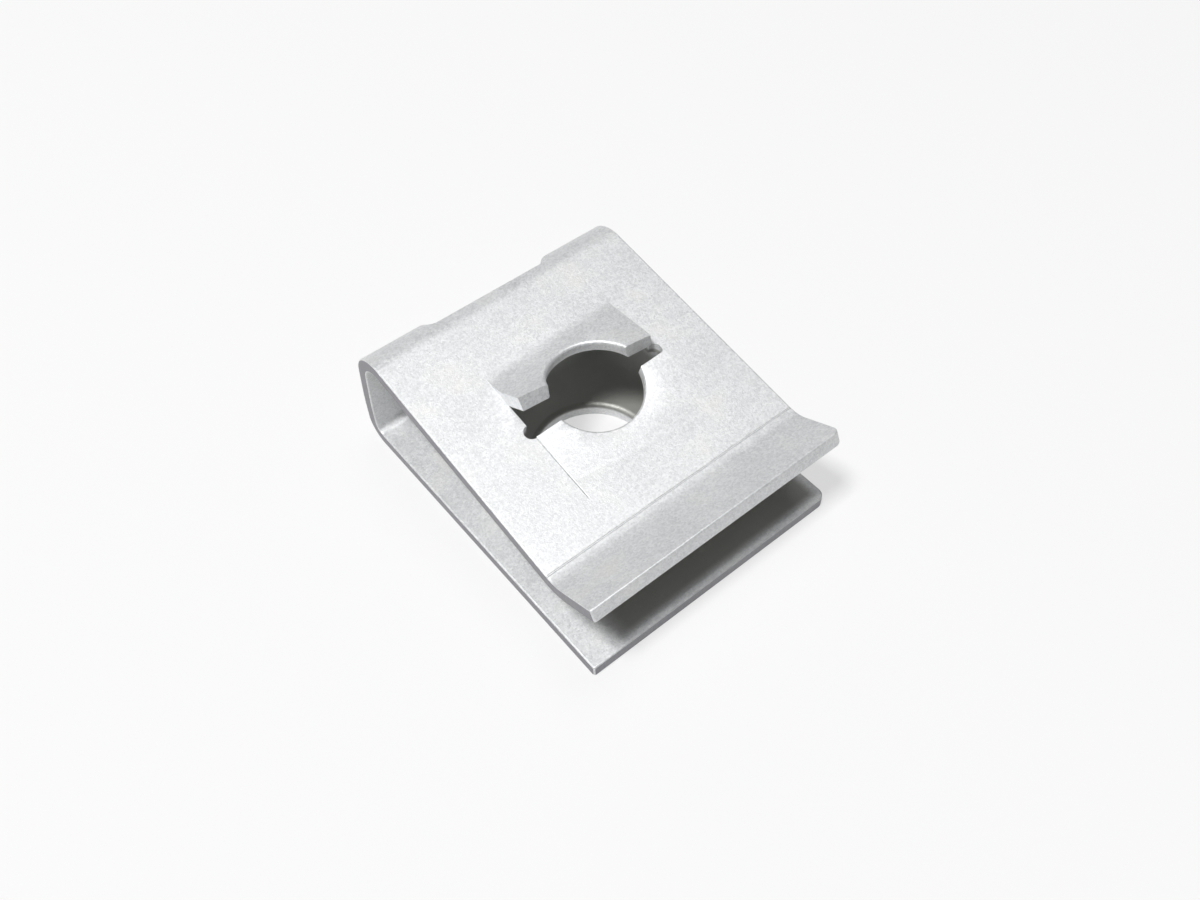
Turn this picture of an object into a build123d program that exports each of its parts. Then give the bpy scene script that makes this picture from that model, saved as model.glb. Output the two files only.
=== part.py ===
from build123d import *
from math import asin, cos, radians, sin, tan
import os

# U-clip speed nut: one strip of spring steel folded into a clip.
#
# The clip pushes over the edge of a panel. The lower leaf is flat and has a plain hole that a
# tapping screw passes through. The upper leaf slopes down to a flared lip and carries the
# thread: two prongs, cut free by a cross slot and bent up so that the rim of the bore climbs
# like one turn of the screw's thread. The lift runs from nothing at the front prong's left end
# to one full pitch at the back prong's left end, so the thread is right-handed.
#
# Frame: millimetres, +Z up. The origin is on the axis of the clearance hole, on the underside
# of the lower leaf. The fold is towards +Y, the open mouth towards -Y.

# ---- strip ---------------------------------------------------------------------------------
SHEET = 0.75                # thickness of the spring steel
STRIP_WIDTH = 16.0
STRIP_OFFSET = -0.38        # the holes are punched a little off the middle of the strip

# ---- side profile, measured on the outer face ----------------------------------------------
LOWER_REACH = 10.5          # clearance hole's axis to the front edge of the lower leaf
FOLD_REACH = 9.75           # the same axis to the foot of the web, before the bend is rounded
WEB_BOW_HEIGHT = 3.0        # where the web is fullest
WEB_BOW = 0.12              # how far the web has leaned forward at that height
FOLD_HEIGHT = 7.85          # height of the upper fold corner, before the bend is rounded
WEB_LEAN = 0.82             # how far the upper fold corner lies in front of the web's foot
LEAF_SLOPE = 10.0           # degrees that the upper leaf falls towards the mouth
LIP_REACH = 2.8             # front edge of the lower leaf back to the crease of the lip
LIP_LENGTH = 3.1
LIP_FLARE = 26.5            # degrees that the lip rises towards the mouth
FOOT_BEND = 0.55            # inside radii of the bends
WEB_BEND = 14.3
TOP_BEND = 1.4
LIP_BEND = 1.8

# ---- relief window in the fold ---------------------------------------------------------------
WINDOW_WIDTH = 8.4
WINDOW_SETBACK = 1.95       # edge of the window in the upper leaf, in front of the web's foot
WINDOW_SILL = 2.6           # height of the window's lower edge in the web
WINDOW_CORNER = 0.7

# ---- holes -----------------------------------------------------------------------------------
CLEARANCE_HOLE = 6.4        # passes the thread of a 6.3 mm tapping screw
CLEARANCE_ROUND = 0.35      # drawn rim of that hole, on the side the panel slides over
BORE = 5.1                  # passes the core of the same screw
BORE_SETBACK = 9.55         # upper fold corner to the bore's axis, along the leaf
BORE_ROUND = 0.15           # rim of the bore, on both faces of the prongs

# ---- thread prongs, in the plane of the upper leaf -------------------------------------------
THREAD_CLIMB = 1.6          # climb of the bore's rim in one turn
PRONG_WIDTH = 8.3
SLOT_WIDTH = 1.0            # cross slot between the prongs, before they are bent up
FRONT_HINGE_LOW = 3.6       # bore's axis to each end of the prongs' hinge lines
FRONT_HINGE_HIGH = 4.6
BACK_HINGE_LOW = 3.9
BACK_HINGE_HIGH = 2.9
PRONG_ROOT = 0.4            # flat strip kept between a hinge line and the cut-out's end
PRONG_BEND = 2.5            # radius of the top face where a prong leaves the leaf
SEAM_STEP = 0.08            # least height of a prong's edge, so that its sheared side shows
RELIEF_HOLE = 0.85          # round ends of the cross slot
RELIEF_SHIFT = 0.1          # each lies towards the prong that is sheared free there

# ---- edges -----------------------------------------------------------------------------------
CORNER_LEFT = 0.15          # corners of the strip's two ends
CORNER_RIGHT = 0.55
EDGE_ROUND = 0.1            # tumbled edge all round the strip

# ---- values that follow from the sizes above -------------------------------------------------
NEAR = 1e-4                 # tolerance for picking edges by place or length
CUT = 2 * SHEET             # cutters reach this far past a face
leaf_angle = radians(LEAF_SLOPE)
flare_angle = radians(LIP_FLARE)
crease_y = LIP_REACH - LOWER_REACH
corner_y = FOLD_REACH - WEB_LEAN
crease_z = FOLD_HEIGHT - (corner_y - crease_y) * tan(leaf_angle)
left_side = STRIP_OFFSET - STRIP_WIDTH / 2
right_side = STRIP_OFFSET + STRIP_WIDTH / 2
front_root = max(FRONT_HINGE_LOW, FRONT_HINGE_HIGH) + PRONG_ROOT
back_root = max(BACK_HINGE_LOW, BACK_HINGE_HIGH) + PRONG_ROOT

# The leaf plane lies on the upper leaf's outer face: x to the right, y towards the fold. Its
# origin is on the bore's axis.
bore_y = corner_y - BORE_SETBACK * cos(leaf_angle)
bore_z = FOLD_HEIGHT - BORE_SETBACK * sin(leaf_angle)
leaf_plane = Plane(
    origin=(0, bore_y, bore_z),
    x_dir=(1, 0, 0),
    z_dir=(0, -sin(leaf_angle), cos(leaf_angle)),
)


def sheet_outline(corners, radii):
    """Closed outline of bent sheet whose outer face runs through the given corners."""
    outer_face = FilletPolyline(*corners, radius=radii)
    return outer_face.offset_2d(SHEET, side=Side.LEFT)


def folded_strip():
    """The strip bent to its side profile, with no holes and with sharp edges."""
    corners = [
        (-LOWER_REACH, 0),
        (FOLD_REACH, 0),
        (FOLD_REACH - WEB_BOW, WEB_BOW_HEIGHT),
        (corner_y, FOLD_HEIGHT),
        (crease_y, crease_z),
        (crease_y - LIP_LENGTH * cos(flare_angle), crease_z + LIP_LENGTH * sin(flare_angle)),
    ]
    bends = [FOOT_BEND + SHEET, WEB_BEND + SHEET, TOP_BEND + SHEET, LIP_BEND]
    outline = sheet_outline(corners, bends)
    section = Plane.YZ.offset(left_side) * make_face(outline.edges())
    return extrude(section, STRIP_WIDTH)


def end_corners(strip, side):
    """Edges through the sheet's thickness at the strip's two ends, on one side of it."""
    on_side = strip.edges().filter_by_position(Axis.X, side - NEAR, side + NEAR)
    return on_side.filter_by(lambda edge: abs(edge.length - SHEET) < NEAR)


def tumbled_strip():
    """The folded strip with its end corners and all its edges rounded."""
    strip = folded_strip()
    strip = fillet(end_corners(strip, left_side), CORNER_LEFT)
    strip = fillet(end_corners(strip, right_side), CORNER_RIGHT)
    return fillet(strip.edges(), EDGE_ROUND)


def fold_window():
    """Cutter for the relief window, punched through the upper bend."""
    front = FOLD_REACH - WINDOW_SETBACK
    depth = FOLD_REACH + CUT - front
    height = FOLD_HEIGHT + CUT - WINDOW_SILL
    window = Box(WINDOW_WIDTH, depth, height, align=(Align.CENTER, Align.MIN, Align.MIN))
    leaf_corners = window.edges().filter_by(Axis.Z).group_by(Axis.Y)[0]
    sill_corners = window.edges().filter_by(Axis.Y).group_by(Axis.Z)[0]
    window = fillet(leaf_corners + sill_corners, WINDOW_CORNER)
    return Pos(STRIP_OFFSET, front, WINDOW_SILL) * window


def clearance_hole():
    """Cutter for the plain hole in the lower leaf, flaring out to the drawn rim."""
    radius = CLEARANCE_HOLE / 2
    ring = radius + CLEARANCE_ROUND
    flare = Cylinder(ring, CLEARANCE_ROUND, align=(Align.CENTER, Align.CENTER, Align.MIN))
    flare -= Torus(ring, CLEARANCE_ROUND)
    return Cylinder(radius, 2 * CUT) + Pos(0, 0, SHEET - CLEARANCE_ROUND) * flare


def prong(low_side, low_hinge, low_height, high_hinge, high_height):
    """One prong, towards +Y of the leaf plane, ruled between the profiles of its two sides.

    low_side is -1 or +1: the side of the bore on which the prong's free edge is lower.
    """
    root = max(low_hinge, high_hinge) + PRONG_ROOT
    low = (low_side, low_hinge, low_height)
    high = (-low_side, high_hinge, high_height)
    sides = []
    for side, hinge, height in (low, high):
        length = hinge - SLOT_WIDTH / 2
        lift = asin(height / length)
        tip = (hinge - length * cos(lift), height)
        outline = sheet_outline([(root, 0), (hinge, 0), tip], [PRONG_BEND])
        side_plane = leaf_plane * Plane.YZ.offset(side * PRONG_WIDTH / 2)
        sides.append(side_plane * make_face(outline.edges()))
    return loft(sides, ruled=True)


def thread_panel():
    """The piece of the upper leaf that is formed into the two prongs, with the bore through it.

    Between the front prong's left end and the back prong's left end the bore's rim climbs by
    one pitch: the front prong takes the first half turn and the back prong the second.
    """
    half_turn = THREAD_CLIMB / 2
    back = prong(1, BACK_HINGE_LOW, half_turn, BACK_HINGE_HIGH, THREAD_CLIMB)
    front = prong(1, FRONT_HINGE_LOW, SEAM_STEP, FRONT_HINGE_HIGH, half_turn)
    front = front.rotate(Axis(leaf_plane.origin, leaf_plane.z_dir), 180)
    prongs = back + front
    bore = leaf_plane * Cylinder(BORE / 2, 2 * (THREAD_CLIMB + CUT))
    bored = prongs - bore
    return fillet(new_edges(prongs, bore, combined=bored), BORE_ROUND)


def thread_cutout():
    """Opening in the upper leaf that the prongs fill: a rectangle with a relief hole each side."""
    panel = Box(PRONG_WIDTH, front_root + back_root, 2 * CUT)
    panel = Pos(0, (back_root - front_root) / 2, 0) * panel
    for side in (-1, 1):
        relief = Cylinder(RELIEF_HOLE / 2, 2 * CUT)
        panel += Pos(side * PRONG_WIDTH / 2, side * RELIEF_SHIFT, 0) * relief
    return leaf_plane * panel


if __name__ == "__main__":
    os.makedirs("parts", exist_ok=True)
    clip = tumbled_strip() - fold_window() - clearance_hole() - thread_cutout()
    clip += thread_panel()
    export_step(clip, "parts/u_clip.step")
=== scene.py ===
"""Dresses the U-clip speed nut: zinc-plated spring steel on a plain pale floor.

The clip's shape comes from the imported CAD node. This script makes a merged copy of it, parts the
rolled faces of the strip from its sheared ones, gives each a procedural finish, and sets up the
floor, the studio lights and the camera. All lengths are in metres in the row's frame.
"""
import logging
import math
from dataclasses import dataclass, field
from enum import Enum
from typing import Any, Union

import bmesh
import bpy
from mathutils import Matrix, Vector


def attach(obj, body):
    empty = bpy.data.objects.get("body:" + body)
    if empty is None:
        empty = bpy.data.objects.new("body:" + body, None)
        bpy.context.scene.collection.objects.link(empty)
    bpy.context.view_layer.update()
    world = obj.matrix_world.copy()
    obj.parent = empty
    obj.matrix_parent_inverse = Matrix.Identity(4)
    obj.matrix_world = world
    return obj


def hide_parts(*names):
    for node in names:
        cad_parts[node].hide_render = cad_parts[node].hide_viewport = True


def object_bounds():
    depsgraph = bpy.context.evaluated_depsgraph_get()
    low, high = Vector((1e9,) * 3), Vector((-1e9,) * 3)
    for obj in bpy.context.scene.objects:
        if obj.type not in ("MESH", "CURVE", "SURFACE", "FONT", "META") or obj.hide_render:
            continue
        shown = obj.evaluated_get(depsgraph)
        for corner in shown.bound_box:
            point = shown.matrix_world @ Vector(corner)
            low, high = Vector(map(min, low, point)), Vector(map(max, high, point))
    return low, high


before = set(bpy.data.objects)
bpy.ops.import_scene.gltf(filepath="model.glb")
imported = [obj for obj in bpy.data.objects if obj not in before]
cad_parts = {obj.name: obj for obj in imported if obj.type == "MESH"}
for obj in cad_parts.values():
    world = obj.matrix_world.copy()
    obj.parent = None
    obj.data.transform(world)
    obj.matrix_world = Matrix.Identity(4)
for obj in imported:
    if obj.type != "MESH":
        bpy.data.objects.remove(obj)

bpy.context.view_layer.update()
CAD_LOW, CAD_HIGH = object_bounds()

logging.basicConfig(level=logging.INFO, format="%(name)s: %(message)s")
LOG = logging.getLogger("u_clip")

MM = 0.001
Number = Union[int, float]
Colour = tuple[float, float, float]
Band = tuple[float, float]

MIX_FIRST = 6     # places of the colour sockets on a Mix node
MIX_SECOND = 7
MIX_RESULT = 2


class Finish(Enum):
    """The two kinds of surface on a blanked and folded strip, as material slots of its mesh."""

    ROLLED = 0
    SHEARED = 1


class Value:
    """A node socket that takes part in Python arithmetic, one Math node for each operator."""

    def __init__(self, tree: "Tree", socket: bpy.types.NodeSocket) -> None:
        """Wraps a socket.

        Args:
            tree: the node tree that new Math nodes go into.
            socket: the output socket that carries the value.
        """
        self.tree = tree
        self.socket = socket

    def _math(self, operation: str, *operands: Union["Value", Number]) -> "Value":
        """Adds a Math node.

        Args:
            operation: name of the operation, such as "ADD".
            operands: values or numbers for the node's inputs, in order.

        Returns:
            The node's result.
        """
        inputs = dict(enumerate(operands))
        return self.tree.add("ShaderNodeMath", {"operation": operation}, inputs)

    def __add__(self, other: Union["Value", Number]) -> "Value":
        """Sum."""
        return self._math("ADD", self, other)

    __radd__ = __add__

    def __sub__(self, other: Union["Value", Number]) -> "Value":
        """Difference."""
        return self._math("SUBTRACT", self, other)

    def __rsub__(self, other: Number) -> "Value":
        """Difference, with the number first."""
        return self._math("SUBTRACT", other, self)

    def __mul__(self, other: Union["Value", Number]) -> "Value":
        """Product."""
        return self._math("MULTIPLY", self, other)

    __rmul__ = __mul__

    def __abs__(self) -> "Value":
        """Absolute value."""
        return self._math("ABSOLUTE", self)

    def clamped(self) -> "Value":
        """The value held between 0 and 1."""
        return self._math("MINIMUM", self._math("MAXIMUM", self, 0.0), 1.0)

    def step(self, low: float, high: float) -> "Value":
        """Smooth step from 0 at low to 1 at high.

        Args:
            low: value at which the step starts.
            high: value at which it ends.

        Returns:
            The stepped value.
        """
        settings = {"interpolation_type": "SMOOTHSTEP"}
        inputs = {"Value": self, "From Min": low, "From Max": high}
        return self.tree.add("ShaderNodeMapRange", settings, inputs)


class Tree:
    """A material's node tree, with one method that adds any node."""

    def __init__(self, name: str) -> None:
        """Makes an empty material.

        Args:
            name: the material's name.
        """
        self.material = bpy.data.materials.new(name)
        self.material.use_nodes = True
        self.nodes = self.material.node_tree.nodes
        self.links = self.material.node_tree.links
        self.nodes.clear()

    def add(
        self,
        kind: str,
        settings: dict[str, Any],
        inputs: dict[Union[str, int], Any],
        output: Union[str, int] = 0,
    ) -> Value:
        """Adds a node, sets it and feeds its sockets.

        Args:
            kind: the node's type name.
            settings: attributes of the node, set before its sockets.
            inputs: a value, a Value or a colour for each socket, by name or place.
            output: the output socket to return, by name or place.

        Returns:
            That output.
        """
        node = self.nodes.new(kind)
        for name, setting in settings.items():
            setattr(node, name, setting)
        for name, given in inputs.items():
            if isinstance(given, Value):
                self.links.new(given.socket, node.inputs[name])
            else:
                node.inputs[name].default_value = given
        return Value(self, node.outputs[output])

    def position(self) -> Value:
        """The point being shaded, in the object's own coordinates."""
        return self.add("ShaderNodeTexCoord", {}, {}, "Object")

    def axis(self, vector: Value, name: str) -> Value:
        """One component of a vector.

        Args:
            vector: the vector.
            name: "X", "Y" or "Z".

        Returns:
            That component.
        """
        return self.add("ShaderNodeSeparateXYZ", {}, {"Vector": vector}, name)

    def scaled(self, vector: Value, scale: tuple[float, float, float]) -> Value:
        """Multiplies a vector by a scale on each axis.

        Args:
            vector: the vector.
            scale: the factor on X, Y and Z.

        Returns:
            The scaled vector.
        """
        settings = {"operation": "MULTIPLY"}
        return self.add("ShaderNodeVectorMath", settings, {0: vector, 1: scale})

    def noise(self, vector: Value, size: float, detail: float = 2.0, rough: float = 0.5) -> Value:
        """Smooth noise, from 0 to 1.

        Args:
            vector: where the noise is read.
            size: length of one blotch, in metres.
            detail: number of finer layers.
            rough: strength of the finer layers.

        Returns:
            The noise's value.
        """
        inputs = {"Vector": vector, "Scale": 1.0 / size, "Detail": detail, "Roughness": rough}
        return self.add("ShaderNodeTexNoise", {"noise_dimensions": "3D"}, inputs, 0)

    def crystals(self, vector: Value, size: float) -> Value:
        """Random value of each crystal of a plated skin, from 0 to 1.

        Args:
            vector: where the pattern is read.
            size: width of one crystal, in metres.

        Returns:
            The crystal's value.
        """
        inputs = {"Vector": vector, "Scale": 1.0 / size}
        colour = self.add("ShaderNodeTexVoronoi", {"feature": "F1"}, inputs, "Color")
        return self.add("ShaderNodeSeparateColor", {}, {"Color": colour}, "Red")

    def blend(self, factor: Value, first: Any, second: Any) -> Value:
        """Mixes two colours.

        Args:
            factor: 0 for the first, 1 for the second.
            first: a colour or a Value.
            second: a colour or a Value.

        Returns:
            The mixed colour.
        """
        settings = {"data_type": "RGBA"}
        node = self.add("ShaderNodeMix", settings, {"Factor": factor}).socket.node
        for place, given in ((MIX_FIRST, first), (MIX_SECOND, second)):
            if isinstance(given, Value):
                self.links.new(given.socket, node.inputs[place])
            else:
                node.inputs[place].default_value = (*given, 1.0)
        return Value(self, node.outputs[MIX_RESULT])

    def bump(self, height: Value, distance: float, strength: float, under: Any = None) -> Value:
        """Turns a height into a bumped normal.

        Args:
            height: height from 0 to 1.
            distance: depth that a height of 1 stands for, in metres.
            strength: share of the bump that shows.
            under: another bump's normal that this one is laid on, or None.

        Returns:
            The normal.
        """
        inputs = {"Height": height, "Distance": distance, "Strength": strength}
        if under is not None:
            inputs["Normal"] = under
        return self.add("ShaderNodeBump", {}, inputs)

    def finish(self, shader: Value) -> bpy.types.Material:
        """Ends the tree.

        Args:
            shader: the shader that the surface shows.

        Returns:
            The material.
        """
        node = self.nodes.new("ShaderNodeOutputMaterial")
        self.links.new(shader.socket, node.inputs["Surface"])
        return self.material

    def metal(
        self, colour: Value, metallic: float, roughness: Value, skin: Value
    ) -> bpy.types.Material:
        """Ends the tree with a metal surface.

        Args:
            colour: its colour.
            metallic: how metallic it is, from 0 to 1.
            roughness: its roughness.
            skin: its bumped normal.

        Returns:
            The material.
        """
        inputs = {
            "Base Color": colour,
            "Metallic": metallic,
            "Roughness": roughness,
            "Normal": skin,
        }
        return self.finish(self.add("ShaderNodeBsdfPrincipled", {}, inputs))


@dataclass(frozen=True)
class ZincPlate:
    """Matte zinc plating on the rolled faces: a fine crystalline skin with soft blotches.

    The three colours are those of bright crystals, dull crystals and faintly yellow blotches.
    Fields that end in _band are where a smooth step starts and ends. Those that end in _tone,
    _roughness and _bump say how much each pattern changes the colour, roughness and normal.
    """

    light: Colour = (0.92, 0.925, 0.93)
    dark: Colour = (0.60, 0.61, 0.62)
    warm: Colour = (0.82, 0.81, 0.76)
    metallic: float = 0.6
    roughness: float = 0.52
    depth: float = 0.009 * MM
    crystal: float = 0.11 * MM
    fine_crystal: float = 0.045 * MM
    coarse_share: float = 0.55
    grain_tone: float = 0.75
    grain_roughness: float = 0.16
    grain_bump: float = 0.55
    blotch: float = 2.6 * MM
    blotch_layers: float = 3.0
    blotch_strength: float = 0.55
    blotch_tone: float = 0.35
    blotch_roughness: float = 0.10
    tone_offset: float = -0.1
    warm_band: Band = (0.52, 0.75)
    warm_tone: float = 0.35
    scratch_width: float = 0.05 * MM
    scratch_length: float = 1.6 * MM
    scratch_band: Band = (0.62, 0.78)
    scratch_roughness: float = 0.06
    scratch_bump: float = 0.25
    mark_tone: float = 0.55
    mark_depth: float = 0.027 * MM
    mark_bump: float = 0.8

    def build(self, marks: tuple["ToolMark", ...], painted_fold_shade: "PaintedFoldShade") -> bpy.types.Material:
        """Makes the material.

        Args:
            marks: fine lines that the tools leave on the upper leaf.
            painted_fold_shade: where painted shade darkens the colour inside the fold.

        Returns:
            The material.
        """
        tree = Tree("zinc_plate")
        place = tree.position()
        coarse = tree.crystals(place, self.crystal)
        fine = tree.crystals(place, self.fine_crystal)
        grain = coarse * self.coarse_share + fine * (1.0 - self.coarse_share)
        blotch = tree.noise(place, self.blotch, self.blotch_layers, self.blotch_strength)
        narrow = (1.0, self.scratch_width / self.scratch_length, 1.0)
        scratch = tree.noise(tree.scaled(place, narrow), self.scratch_width, 1.0)
        scratch = scratch.step(*self.scratch_band)
        mark = marks[0].mask(tree, place)
        for other in marks[1:]:
            mark = (mark + other.mask(tree, place)).clamped()

        tone = (grain * self.grain_tone + blotch * self.blotch_tone + self.tone_offset).clamped()
        colour = tree.blend(tone, self.dark, self.light)
        colour = tree.blend(blotch.step(*self.warm_band) * self.warm_tone, colour, self.warm)
        # Painted shade: the colour darkens inside the fold, where the upper leaf shadows the lower
        # one.
        colour = tree.blend(painted_fold_shade.mask(tree, place), colour, painted_fold_shade.colour)
        colour = tree.blend(mark * self.mark_tone, colour, self.dark)

        roughness = self.roughness + (grain - 0.5) * self.grain_roughness
        roughness = roughness + (blotch - 0.5) * self.blotch_roughness
        roughness = roughness - scratch * self.scratch_roughness

        skin = tree.bump(grain, self.depth, self.grain_bump)
        skin = tree.bump(scratch, self.depth, self.scratch_bump, skin)
        skin = tree.bump(1.0 - mark, self.mark_depth, self.mark_bump, skin)
        return tree.metal(colour, self.metallic, roughness, skin)


@dataclass(frozen=True)
class ShearedEdge:
    """Cut faces of the strip: a duller skin, streaked through the sheet by the punch.

    Fields that end in _tone say how much each pattern changes the colour.
    """

    light: Colour = (0.40, 0.395, 0.42)
    dark: Colour = (0.15, 0.148, 0.165)
    metallic: float = 0.6
    roughness: float = 0.50
    depth: float = 0.012 * MM
    streak_width: float = 0.06 * MM
    streak_length: float = 0.6 * MM
    streak_layers: float = 2.0
    streak_strength: float = 0.6
    streak_tone: float = 0.7
    streak_roughness: float = 0.25
    streak_bump: float = 0.5
    grain: float = 0.05 * MM
    grain_tone: float = 0.2
    patch: float = 4.8 * MM
    patch_layers: float = 2.0
    patch_tone: float = 0.5
    tone_offset: float = -0.2

    def build(self) -> bpy.types.Material:
        """Makes the material.

        Returns:
            The material.
        """
        tree = Tree("sheared_edge")
        place = tree.position()
        upright = tree.scaled(place, (1.0, 1.0, self.streak_width / self.streak_length))
        streak = tree.noise(upright, self.streak_width, self.streak_layers, self.streak_strength)
        grain = tree.crystals(place, self.grain)
        patch = tree.noise(place, self.patch, self.patch_layers)
        tone = streak * self.streak_tone + grain * self.grain_tone + patch * self.patch_tone
        colour = tree.blend((tone + self.tone_offset).clamped(), self.dark, self.light)
        roughness = self.roughness + (streak - 0.5) * self.streak_roughness
        skin = tree.bump(streak, self.depth, self.streak_bump)
        return tree.metal(colour, self.metallic, roughness, skin)


@dataclass(frozen=True)
class ToolMark:
    """Fine straight line that a tool leaves on the upper leaf.

    Attributes:
        across: the axis that the line lies square to, "X" or "Y".
        place: where it lies on that axis.
        start: its lower end on the other axis.
        end: its upper end on the other axis.
        width: its width.
        core: share of the width that is at full strength.
        wander: how far it strays from straight.
        wander_length: length of one stray.
        fade: length over which each end fades.
        leaf_band: heights between which the mark comes in, over the lower leaf.
    """

    across: str
    place: float
    start: float
    end: float
    width: float = 0.07 * MM
    wander: float = 0.10 * MM
    core: float = 0.2
    wander_length: float = 2.5 * MM
    fade: float = 0.6 * MM
    leaf_band: Band = (3.0 * MM, 3.5 * MM)

    def mask(self, tree: Tree, point: Value) -> Value:
        """How much of the mark a point has, from 0 to 1.

        Args:
            tree: the material's node tree.
            point: the point's own coordinates.

        Returns:
            The mask.
        """
        stray = (tree.noise(point, self.wander_length, 1.0) - 0.5) * self.wander
        away = abs(tree.axis(point, self.across) - self.place + stray)
        along = tree.axis(point, "X" if self.across == "Y" else "Y")
        span = along.step(self.start, self.start + self.fade)
        span = span * (1.0 - along.step(self.end - self.fade, self.end))
        on_leaf = tree.axis(point, "Z").step(*self.leaf_band)
        return (1.0 - away.step(self.core * self.width, self.width)) * span * on_leaf


@dataclass(frozen=True)
class PaintedFoldShade:
    """Painted shade: a darker colour on the faces that look at each other inside the fold, standing in
    for the shade there.

    Each band is where the finish starts to change and where it has changed.

    Attributes:
        colour: colour of the painted shade deep inside.
        strength: share of it deep inside.
        left_band: from the left side inwards.
        right_band: outwards to the right side.
        mouth_band: from the mouth inwards.
        fold_band: outwards to the fold.
        floor_band: heights from the underside of the lower leaf up.
        depth_band: depths below the upper leaf's outer face.
        leaf_height: height of that face over the origin.
        leaf_slope: rise of that face for each unit towards the fold.
    """

    colour: Colour = (0.26, 0.26, 0.235)
    strength: float = 0.85
    left_band: Band = (-7.0 * MM, -5.4 * MM)
    right_band: Band = (6.8 * MM, 7.5 * MM)
    mouth_band: Band = (-10.3 * MM, -9.7 * MM)
    fold_band: Band = (5.5 * MM, 8.0 * MM)
    floor_band: Band = (0.45 * MM, 0.6 * MM)
    depth_band: Band = (0.35 * MM, 0.6 * MM)
    leaf_height: float = 6.275 * MM
    leaf_slope: float = 0.1763

    def mask(self, tree: Tree, point: Value) -> Value:
        """How much painted shade a point has, from 0 to 1.

        Args:
            tree: the material's node tree.
            point: the point's own coordinates.

        Returns:
            The mask.
        """
        across, along, height = (tree.axis(point, name) for name in "XYZ")
        sides = across.step(*self.left_band) * (1.0 - across.step(*self.right_band))
        ends = along.step(*self.mouth_band) * (1.0 - along.step(*self.fold_band))
        under = along * self.leaf_slope + self.leaf_height - height
        inside = height.step(*self.floor_band) * under.step(*self.depth_band)
        return sides * ends * inside * self.strength


@dataclass
class ClipStrip:
    """The clip itself: the folded strip as the CAD has it, with its faces sorted by finish.

    Attributes:
        node: name of the CAD node that it stands for.
        merge_distance: how close doubled points lie.
        marks: lines left by the folding tool at the lip and by the shears beside the thread.
        painted_fold_shade: where shade inside the fold is painted into the plate's colour.
        plate: finish of the rolled faces.
        edge: finish of the sheared faces.
        side_depth: how far from the strip's sides a sheared face lies at most.
        square: least share of its normal that points out of the strip.
        lower_top: a height between the lower leaf and the lip.
        front: a place just behind the front face of the lower leaf.
        sharp_angle: angle in degrees from which an edge is shaded sharp.
        flat_weight: how far large faces rule the shading of the small ones beside them.
    """

    node: str = "u_clip"
    merge_distance: float = 0.0005 * MM
    marks: tuple[ToolMark, ...] = (
        ToolMark("Y", -7.15 * MM, -9.5 * MM, 9.0 * MM),
        ToolMark("X", -4.15 * MM, -5.3 * MM, -0.7 * MM, width=0.05 * MM, wander=0.0),
    )
    # Painted shade inside the fold, laid into the plate's colour.
    painted_fold_shade: PaintedFoldShade = field(default_factory=PaintedFoldShade)
    plate: ZincPlate = field(default_factory=ZincPlate)
    edge: ShearedEdge = field(default_factory=ShearedEdge)
    side_depth: float = 0.02 * MM
    square: float = 0.9
    lower_top: float = 1.0 * MM
    front: float = -10.3 * MM
    sharp_angle: float = 38.0
    flat_weight: int = 90

    def _merged(self) -> bmesh.types.BMesh:
        """The CAD node's mesh as a closed shell, with its doubled points merged."""
        shell = bmesh.new()
        shell.from_mesh(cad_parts[self.node].data)
        bmesh.ops.remove_doubles(shell, verts=shell.verts, dist=self.merge_distance)
        return shell

    def _finish_of(self, face: bmesh.types.BMFace) -> Finish:
        """Sorts a face: the shears cut the strip's sides and the front of its lower leaf.

        Args:
            face: a face of the merged shell.

        Returns:
            The face's finish.
        """
        middle = face.calc_center_median()
        from_side = min(middle.x - CAD_LOW.x, CAD_HIGH.x - middle.x)
        on_side = abs(face.normal.x) > self.square and from_side < self.side_depth
        at_front = middle.z < self.lower_top and middle.y < self.front
        on_front = face.normal.y < -self.square and at_front
        return Finish.SHEARED if on_side or on_front else Finish.ROLLED

    def _mesh(self) -> bpy.types.Mesh:
        """The dressed mesh, with its faces sorted by finish and its edges shaded."""
        shell = self._merged()
        for face in shell.faces:
            face.smooth = True
            face.material_index = self._finish_of(face).value
        for edge in shell.edges:
            edge.smooth = edge.calc_face_angle(0.0) < math.radians(self.sharp_angle)
        mesh = bpy.data.meshes.new("clip_strip")
        shell.to_mesh(mesh)
        shell.free()
        mesh.materials.append(self.plate.build(self.marks, self.painted_fold_shade))
        mesh.materials.append(self.edge.build())
        return mesh

    def build(self) -> bpy.types.Object:
        """Makes the dressed copy of the clip and puts it in the CAD node's place.

        Returns:
            The finished piece.
        """
        piece = bpy.data.objects.new("clip_strip", self._mesh())
        bpy.context.scene.collection.objects.link(piece)
        weighted = piece.modifiers.new("flat_faces", "WEIGHTED_NORMAL")
        weighted.keep_sharp = True
        weighted.weight = self.flat_weight
        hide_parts(self.node)
        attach(piece, "root")
        LOG.info("%s: %d faces", piece.name, len(piece.data.polygons))
        return piece


@dataclass
class Lamp:
    """One softbox: a square area light that looks at the clip.

    Attributes:
        name: what it is called.
        towards: direction from the clip to the lamp.
        distance: how far away it hangs.
        size: length of its side.
        level: radiance of its face, where 1 lights as a white wall.
    """

    name: str
    towards: tuple[float, float, float]
    distance: float
    size: float
    level: float

    def hang(self, target: Vector) -> None:
        """Places the lamp.

        Args:
            target: the point that it looks at.
        """
        data = bpy.data.lights.new(self.name, "AREA")
        data.shape = "SQUARE"
        data.size = self.size
        data.energy = self.level * math.pi * self.size ** 2
        lamp = bpy.data.objects.new(self.name, data)
        direction = Vector(self.towards).normalized()
        lamp.location = target + direction * self.distance
        lamp.rotation_euler = direction.to_track_quat("Z", "Y").to_euler()
        bpy.context.scene.collection.objects.link(lamp)


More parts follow.
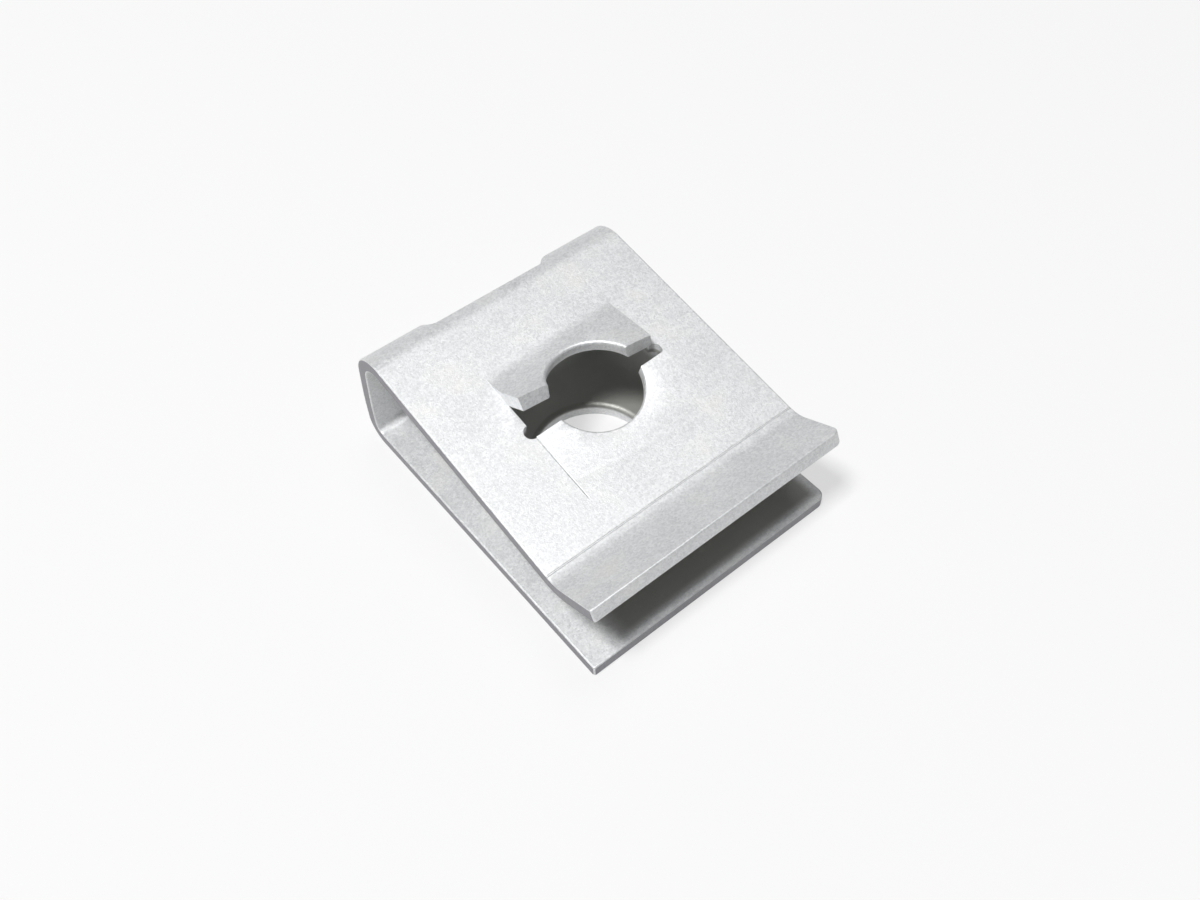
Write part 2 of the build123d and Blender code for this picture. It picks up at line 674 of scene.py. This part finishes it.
@dataclass
class Studio:
    """Plain pale floor, soft lights and the camera.

    Attributes:
        floor_size: length of the floor's side.
        floor_colour: colour of the floor's paper.
        backdrop_level: share of plain white in the floor as it is seen and mirrored.
        sky_colour: colour of the room's even light.
        sky_level: strength of that light.
        lens: focal length of the lens, in millimetres.
        sensor: width of the camera's sensor, in millimetres.
        azimuth: how far the camera stands round from the mouth, in degrees.
        elevation: how far it looks down, in degrees.
        roll: how far it leans, in degrees.
        aim: the point that it looks at.
        distance: how far it stands from that point.
        near: nearest distance that it sees.
        far: farthest distance that it sees.
        lamps: the soft lights.
    """

    floor_size: float = 1.2
    floor_colour: Colour = (0.72, 0.72, 0.72)
    backdrop_level: float = 0.60
    sky_colour: Colour = (0.96, 0.98, 1.0)
    sky_level: float = 0.06
    lens: float = 33.5
    sensor: float = 36.0
    azimuth: float = -37.3
    elevation: float = 52.05
    roll: float = -2.38
    aim: tuple[float, float, float] = (-1.434 * MM, -2.580 * MM, 4.415 * MM)
    distance: float = 57.24 * MM
    near: float = 1.0 * MM
    far: float = 10.0
    lamps: tuple[Lamp, ...] = (
        Lamp("key", (-0.36, -0.05, 0.93), 0.60, 0.12, 86.0),
        Lamp("overhead", (0.24, 0.08, 0.97), 0.50, 0.24, 2.2),
        Lamp("back", (0.30, 0.95, 0.35), 0.55, 0.40, 0.5),
    )

    def lay_floor(self) -> None:
        """Lays the floor under the clip, with the object's shadow kept."""
        shape = bmesh.new()
        bmesh.ops.create_grid(shape, x_segments=1, y_segments=1, size=self.floor_size / 2)
        bmesh.ops.translate(shape, verts=shape.verts, vec=Vector((0.0, 0.0, CAD_LOW.z)))
        mesh = bpy.data.meshes.new("floor")
        shape.to_mesh(mesh)
        shape.free()
        tree = Tree("floor_paper")
        paper = tree.add("ShaderNodeBsdfDiffuse", {}, {"Color": (*self.floor_colour, 1.0)})
        glow = tree.add("ShaderNodeEmission", {}, {"Color": (1.0, 1.0, 1.0, 1.0)})
        path = tree.add("ShaderNodeLightPath", {}, {}).socket.node
        seen = Value(tree, path.outputs["Is Camera Ray"]) + Value(tree, path.outputs["Is Glossy Ray"])
        seen = (seen + Value(tree, path.outputs["Is Transmission Ray"])).clamped()
        mixed = tree.add("ShaderNodeMixShader", {}, {0: seen * self.backdrop_level, 1: paper, 2: glow})
        mesh.materials.append(tree.finish(mixed))
        floor = bpy.data.objects.new("floor", mesh)
        bpy.context.scene.collection.objects.link(floor)

    def light(self) -> None:
        """Sets the even light of the room and hangs the lamps."""
        world = bpy.data.worlds.new("room")
        world.use_nodes = True
        background = world.node_tree.nodes["Background"]
        background.inputs["Color"].default_value = (*self.sky_colour, 1.0)
        background.inputs["Strength"].default_value = self.sky_level
        bpy.context.scene.world = world
        middle = (CAD_LOW + CAD_HIGH) / 2
        for lamp in self.lamps:
            lamp.hang(middle)

    def place_camera(self) -> None:
        """Puts the camera to the left of the mouth, looking down on the clip."""
        turn, rise, roll = map(math.radians, (self.azimuth, self.elevation, self.roll))
        back = Vector((
            math.sin(turn) * math.cos(rise),
            -math.cos(turn) * math.cos(rise),
            math.sin(rise),
        ))
        right = Vector((math.cos(turn), math.sin(turn), 0.0))
        up = back.cross(right)
        rolled_right = right * math.cos(roll) + up * math.sin(roll)
        rolled_up = up * math.cos(roll) - right * math.sin(roll)
        data = bpy.data.cameras.new("camera")
        data.sensor_width = self.sensor
        data.lens = self.lens
        data.clip_start = self.near
        data.clip_end = self.far
        camera = bpy.data.objects.new("camera", data)
        place = Matrix((rolled_right, rolled_up, back)).transposed().to_4x4()
        place.translation = Vector(self.aim) + back * self.distance
        camera.matrix_world = place
        bpy.context.scene.collection.objects.link(camera)
        bpy.context.scene.camera = camera


def main() -> None:
    """Builds the clip, then the studio round it."""
    bpy.context.scene.view_settings.view_transform = "Standard"
    ClipStrip().build()
    studio = Studio()
    studio.lay_floor()
    studio.light()
    studio.place_camera()


if __name__ == "__main__":
    main()
